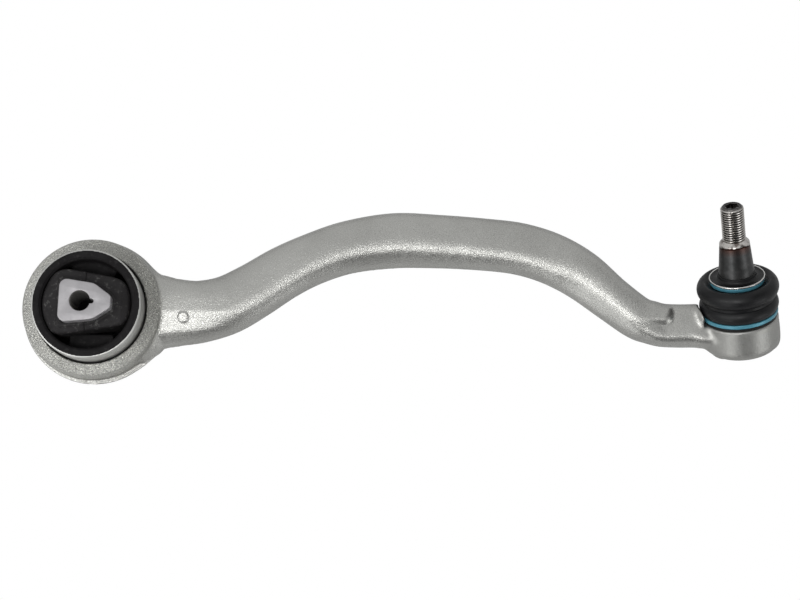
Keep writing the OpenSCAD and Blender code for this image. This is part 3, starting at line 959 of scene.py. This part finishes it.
# heights are along the stud's axis, from the ball's centre
TAPER_HIGH = 53.3
TAPER_LOW = 38.0
TAPER_SMALL_R = 9.1
TAPER_LARGE_R = 10.4
COLLAR_R = 10.8
COLLAR_LOW = 29.8
COLLAR_HIGH = 36.4
NECK_R = 7.4
NECK_FILLET = 2.0
BALL_R = 13.5
TIP_CHAMFER = 1.5
SOCKET_R = 3.9
SOCKET_DEPTH = 5.0
SOCKET_LOBES = 6
THREAD_COLUMNS = 96
# the thread's form over one pitch: 0 at the root, 1 at the crest
THREAD_FORM = (0, 0, 0.5, 1, 1, 1, 0.5, 0)
SEAL_BOTTOM = 29.5
SEAL_TOP = 30.6
SEAL_R = 17.0
# the boot's wall and its bulges: centre (radius, height), then the radius of the bulge
BOOT_WALL = 1.5
UPPER_BULGE = ((18.6, 22.9), 6.35)
LOWER_BULGE = ((18.5, 11.9), 5.7)
BOOT_CREST = ((20.8, 26.05), 2.5)
BOOT_NOTCH = ((20.9, 16.85), 0.45)
CREST_WALL = 1.2
FOLD_HEIGHT = 18.9
FOLD_DEPTH = 0.45
FOLD_AT = math.radians(-30)


def stud_body():
    """Ball, neck, collar, taper, shoulder and the plain core under the thread."""
    root = THREAD_R - THREAD_DEPTH
    start = math.degrees(math.asin(NECK_R / BALL_R))
    profile = [(0.0, -BALL_R)]
    profile += arc((0, 0), BALL_R, -89, 90 - start, 40)
    profile += arc((NECK_R + NECK_FILLET, 13.3), NECK_FILLET, 215, 180, 4)
    profile += [(NECK_R, 22.0), (NECK_R + 0.4, 25.5), (COLLAR_R - 0.6, COLLAR_LOW - 0.6)]
    profile += [(COLLAR_R, COLLAR_LOW), (COLLAR_R, COLLAR_HIGH), (TAPER_LARGE_R, TAPER_LOW)]
    profile += [
        (TAPER_LARGE_R + (TAPER_SMALL_R - TAPER_LARGE_R) * t, TAPER_LOW + (TAPER_HIGH - TAPER_LOW) * t)
        for t in np.linspace(0.1, 1.0, 10)
    ]
    profile += [(TAPER_SMALL_R - 0.15, TAPER_HIGH + 0.25), (THREAD_R + 0.35, TAPER_HIGH + 1.9)]
    profile += [(THREAD_R - 0.1, TAPER_HIGH + 2.1), (root, TAPER_HIGH + 2.5), (root, STUD_TIP - 3.0)]
    profile += [(0.0, STUD_TIP - 3.0)]
    return turned("stud_body", profile, STUD_METAL, 96, closed=False)


def helix():
    """Points and faces of the thread; its rows run along the helix, so its crests are crisp."""
    columns = THREAD_COLUMNS
    per_turn = len(THREAD_FORM)
    step = THREAD_PITCH / per_turn
    rows = int((STUD_TIP - THREAD_LOW) / step) + per_turn + 2
    bottom = THREAD_LOW - 0.4
    inner = THREAD_R - THREAD_DEPTH - 0.6
    points = []
    for j in range(rows):
        for i in range(columns):
            angle = 2 * math.pi * i / columns
            s = THREAD_LOW - THREAD_PITCH - 0.4 + j * step + THREAD_PITCH * i / columns
            s = min(max(s, bottom), STUD_TIP)
            r = THREAD_R - THREAD_DEPTH * (1 - THREAD_FORM[j % per_turn])
            r = min(r, THREAD_R - TIP_CHAMFER * max(0.0, (s - STUD_TIP + TIP_CHAMFER) / TIP_CHAMFER))
            if s <= bottom:
                r = inner
            points.append((r * math.cos(angle), r * math.sin(angle), s))
    faces = []
    for j in range(rows - 1):
        row = ring_faces(j * columns, (j + 1) * columns, columns, per_turn * columns)
        # the last rows have no turn above them to close on
        faces += row if j + 1 + per_turn < rows else row[:-1]
    return points, faces


def tip_face(first):
    """The tip's face with its lobed drive socket, ring by ring; first is its first point's number."""
    rings = [
        (THREAD_R - TIP_CHAMFER, STUD_TIP, 0.0), (SOCKET_R + 0.5, STUD_TIP, 0.4),
        (SOCKET_R, STUD_TIP - 0.35, 0.45), (SOCKET_R, STUD_TIP - SOCKET_DEPTH, 0.45),
        (0.01, STUD_TIP - SOCKET_DEPTH - 1.5, 0.0),
    ]
    points, faces = [], []
    for r, s, lobe in rings:
        for i in range(THREAD_COLUMNS):
            angle = 2 * math.pi * i / THREAD_COLUMNS
            radius = r + lobe * math.cos(SOCKET_LOBES * angle)
            points.append((radius * math.cos(angle), radius * math.sin(angle), s))
    for j in range(len(rings) - 1):
        start = first + j * THREAD_COLUMNS
        faces += ring_faces(start, start + THREAD_COLUMNS, THREAD_COLUMNS)
    return points, faces


def stud_thread():
    points, faces = helix()
    tip_points, tip_faces = tip_face(len(points))
    points = np.array(points + tip_points) @ STUD_AXES + BALL
    piece = make_object("stud_thread_helix", points, faces + tip_faces, STUD_METAL)
    weld(piece, 2e-6)
    return piece


def join(pieces, name):
    """Makes one object of several."""
    bpy.ops.object.select_all(action="DESELECT")
    for piece in pieces:
        piece.select_set(True)
    bpy.context.view_layer.objects.active = pieces[0]
    bpy.ops.object.join()
    pieces[0].name = name
    return pieces[0]


def build_stud():
    piece = join([stud_body(), stud_thread()], "ball_stud_turned")
    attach(piece, "stud")
    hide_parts("ball_stud")


def build_seal_lip():
    """Rubber collar that flares from the stud to its steel rim."""
    bore = COLLAR_R + 0.03
    profile = [(bore, SEAL_BOTTOM), (SEAL_R - 0.85, SEAL_BOTTOM), (SEAL_R - 0.85, SEAL_TOP - 0.3)]
    profile += [(SEAL_R - 1.8, SEAL_TOP - 0.6), (bore + 2.6, SEAL_TOP - 0.35)]
    profile += arc((bore + 2.2, SEAL_TOP + 1.2), 1.5, 265, 190, 6)
    profile += arc((bore + 0.35, SEAL_TOP + 2.0), 0.35, 0, 90, 3) + [(bore, SEAL_TOP + 2.35)]
    seal = turned("stud_seal_lip", profile, BOOT_RUBBER)
    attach(seal, "stud")
    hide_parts("stud_seal_ring")


def build_seal_rim():
    """Thin steel rim round the collar's edge."""
    top, low = SEAL_TOP + 0.1, SEAL_BOTTOM
    profile = [(SEAL_R - 0.8, low + 0.1), (SEAL_R - 0.6, low), (SEAL_R - 0.2, low)]
    profile += [(SEAL_R, low + 0.2)] + arc((SEAL_R - 0.4, top - 0.4), 0.4, 0, 180, 6)
    rim = turned("stud_seal_steel_rim", profile, RIM_STEEL, 160)
    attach(rim, "stud")
    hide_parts("stud_seal_rim")


def boot_profile():
    """The boot's section: outer skin from the housing up, then the inner skin back down."""
    upper, upper_r = UPPER_BULGE
    lower, lower_r = LOWER_BULGE
    crest, crest_r = BOOT_CREST
    notch, notch_r = BOOT_NOTCH
    outer = [(20.6, 4.3), (22.9, 4.3), (23.2, 4.7), (23.1, 5.3), (22.3, 5.6), (21.9, 5.7), (21.9, 8.0)]
    outer += arc(lower, lower_r, -40, 47, 14) + arc(notch, notch_r, 240, 120, 5)
    outer += arc(upper, upper_r, -50, 55, 22) + arc(crest, crest_r, 62, 128, 8)
    outer += [(17.4, 26.9), (16.2, 26.6), (15.3, 26.8), (15.3, 29.1), (15.0, 29.3), (13.3, 29.3)]
    outer += [(13.2, 29.0), (13.2, 26.2), (14.2, 25.6)]
    inner = arc(crest, crest_r - CREST_WALL, 120, 60, 5) + arc(upper, upper_r - BOOT_WALL, 52, -36, 14)
    inner += arc(lower, lower_r - BOOT_WALL, 32, -60, 12)
    inner += [(20.6, 7.4)]
    return outer + inner


def second_fold(radii, heights, angle):
    """A shallow second crease under the upper bulge, over part of the way round."""
    upper, upper_r = UPPER_BULGE
    outside = radii > upper[0] + upper_r - 2.5
    reach = np.clip(np.cos(angle - FOLD_AT) * 1.4 - 0.2, 0, 1)
    groove = np.exp(-(((heights - FOLD_HEIGHT) / FOLD_DEPTH) ** 2)) * outside
    return radii - FOLD_DEPTH * reach * groove, heights


def build_boot():
    """Dust boot with two bulges and a tight fold between them."""
    name = "dust_boot_rubber"
    piece = turned(name, boot_profile(), BOOT_RUBBER, 144, wobble=second_fold)
    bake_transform(piece)
    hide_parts("dust_boot")


def clamp_band(name, node, body, inner, outer, low, high):
    """Spring band with rounded edges."""
    edge = 0.35
    profile = [(inner, low + edge), (inner + edge, low)]
    profile += arc((outer - edge, low + edge), edge, -90, 0, 3)
    profile += arc((outer - edge, high - edge), edge, 0, 90, 3)
    profile += [(inner + edge, high), (inner, high - edge)]
    piece = turned(name, profile, TEAL, 160)
    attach(piece, body)
    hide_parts(node)


def build_cover():
    """Pressed steel closing plate with a shallow dish, held by the rolled housing edge."""
    low = 1.0 - HOUSING_DEPTH
    section = [(0, 1.2), (9, 1.2), (12, 0.2), (16.6, 0), (17.8, 0.5)]
    section += [(17.9, 1.2), (17.6, 1.9), (12, 1.9), (9, 2), (0, 2)]
    profile = [(r, low + s) for r, s in section]
    piece = turned("housing_cover", profile, HIDDEN_STEEL, 96, closed=False)
    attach(piece, "arm")
    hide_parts("cover_plate")


build_stud()
build_seal_lip()
build_seal_rim()
build_boot()
clamp_band("lower_clamp_band", "lower_clamp_ring", "boot_base", 21.95, 23.5, 5.7, 8.0)
clamp_band("upper_clamp_band", "upper_clamp_ring", "stud_collar", 15.35, 16.5, 26.95, 29.2)
build_cover()

# ------------ carried-over CAD nodes

CARRIED = {
    "bush_window_cage": HIDDEN_STEEL,
    "bush_channel_ring_upper": CHANNEL_PLASTIC,
    "bush_channel_ring_lower": CHANNEL_PLASTIC,
    "bush_stop_upper": CHANNEL_PLASTIC,
    "bush_stop_lower": CHANNEL_PLASTIC,
    "ball_seat": SEAT_PLASTIC,
    "seat_preload_ring": BUSH_RUBBER,
}
for node, material in CARRIED.items():
    for slot in frame["nodes"][node].material_slots:
        slot.material = material

# ------------ floor, lights and camera

# in metres
FLOOR_Z = cad_box[0][2]
FLOOR_GAP = 0.0002
FLOOR_HALF_SIZE = 6.0
AIM = Vector((0.1901, 0.0098, -0.008))
CAMERA_DISTANCE = 1.145
CAMERA_TILT = math.radians(9.17)
CAMERA_ROLL = math.radians(0.705)
CAMERA_LENS = 83.43


def build_floor():
    size = FLOOR_HALF_SIZE
    corners = [(-size, -size), (size, -size), (size, size), (-size, size)]
    mesh = bpy.data.meshes.new("floor")
    mesh.from_pydata([(x, y, FLOOR_Z - FLOOR_GAP) for x, y in corners], [], [(0, 1, 2, 3)])
    mesh.materials.append(floor_paper())
    floor = new_object("floor", mesh)


def area_light(name, place, size, power):
    """A soft box at a place, turned to face the object."""
    lamp = bpy.data.lights.new(name, "AREA")
    lamp.shape = "RECTANGLE"
    lamp.size, lamp.size_y = size
    lamp.energy = power
    holder = new_object(name, lamp)
    holder.location = place
    holder.rotation_euler = (AIM - Vector(place)).to_track_quat("-Z", "Y").to_euler()


SKY = 0.69
SKY_TINT = (0.99, 0.995, 1.0)
# bright and dark parts of the studio: direction, inner and outer angle in degrees, added brightness
SKY_PATCHES = [
    ((0.08, -0.86, 0.50), 14, 36, -0.6),
    ((0.60, 0.20, 0.77), 12, 26, -0.65),
    ((0.20, 0.30, 0.93), 5, 15, 0.35),
    ((-0.27, -0.05, 0.96), 6, 19, 0.45),
    ((-0.72, -0.25, 0.64), 10, 45, 0.25),
    ((0.05, 0.75, 0.66), 10, 50, 0.12),
    ((0.80, -0.55, 0.25), 7, 15, 2.4),
    ((-0.48, -0.83, 0.30), 6, 13, 2.8),
]


def build_sky():
    """A studio round the object: an even glow with a few brighter and darker parts."""
    world = bpy.data.worlds.new("studio")
    scene.world = world
    sky = Tree(world)
    direction = sky.add("ShaderNodeTexCoord").outputs["Generated"]
    total = None
    for aim, inner, outer, amount in SKY_PATCHES:
        dot = sky.add("ShaderNodeVectorMath", operation="DOT_PRODUCT")
        sky.link(direction, dot.inputs[0])
        dot.inputs[1].default_value = Vector(aim).normalized()
        patch = sky.add("ShaderNodeMapRange", interpolation_type="SMOOTHSTEP")
        low, high = (math.cos(math.radians(angle)) for angle in (outer, inner))
        sky.fill(patch, From_Min=low, From_Max=high, To_Max=amount)
        sky.link(dot.outputs["Value"], patch.inputs["Value"])
        add = sky.add("ShaderNodeMath", operation="ADD")
        add.inputs[0].default_value = SKY
        if total is not None:
            sky.link(total, add.inputs[0])
        sky.link(patch.outputs["Result"], add.inputs[1])
        total = add.outputs[0]
    background = world.node_tree.nodes["Background"]
    sky.fill(background, Color=(*SKY_TINT, 1))
    sky.link(total, background.inputs["Strength"])


def build_lights():
    build_sky()
    area_light("key", (0.06, -0.46, 1.22), (0.4, 0.2), 3.8)
    area_light("left_box", (-0.75, -0.45, 1.0), (0.5, 0.5), 4.0)


def build_camera():
    lens = bpy.data.cameras.new("camera")
    lens.lens = CAMERA_LENS
    lens.sensor_width = 36
    lens.clip_start = 0.01
    holder = new_object("camera", lens)
    back = Vector((0, -math.sin(CAMERA_TILT), math.cos(CAMERA_TILT)))
    right = Vector((1, 0, 0))
    up = back.cross(right)
    turn = Matrix.Rotation(CAMERA_ROLL, 3, back)
    axes = Matrix((turn @ right, turn @ up, back)).transposed()
    holder.matrix_world = Matrix.Translation(AIM + back * CAMERA_DISTANCE) @ axes.to_4x4()
    scene.camera = holder


build_floor()
build_lights()
build_camera()
scene.view_settings.view_transform = "Standard"
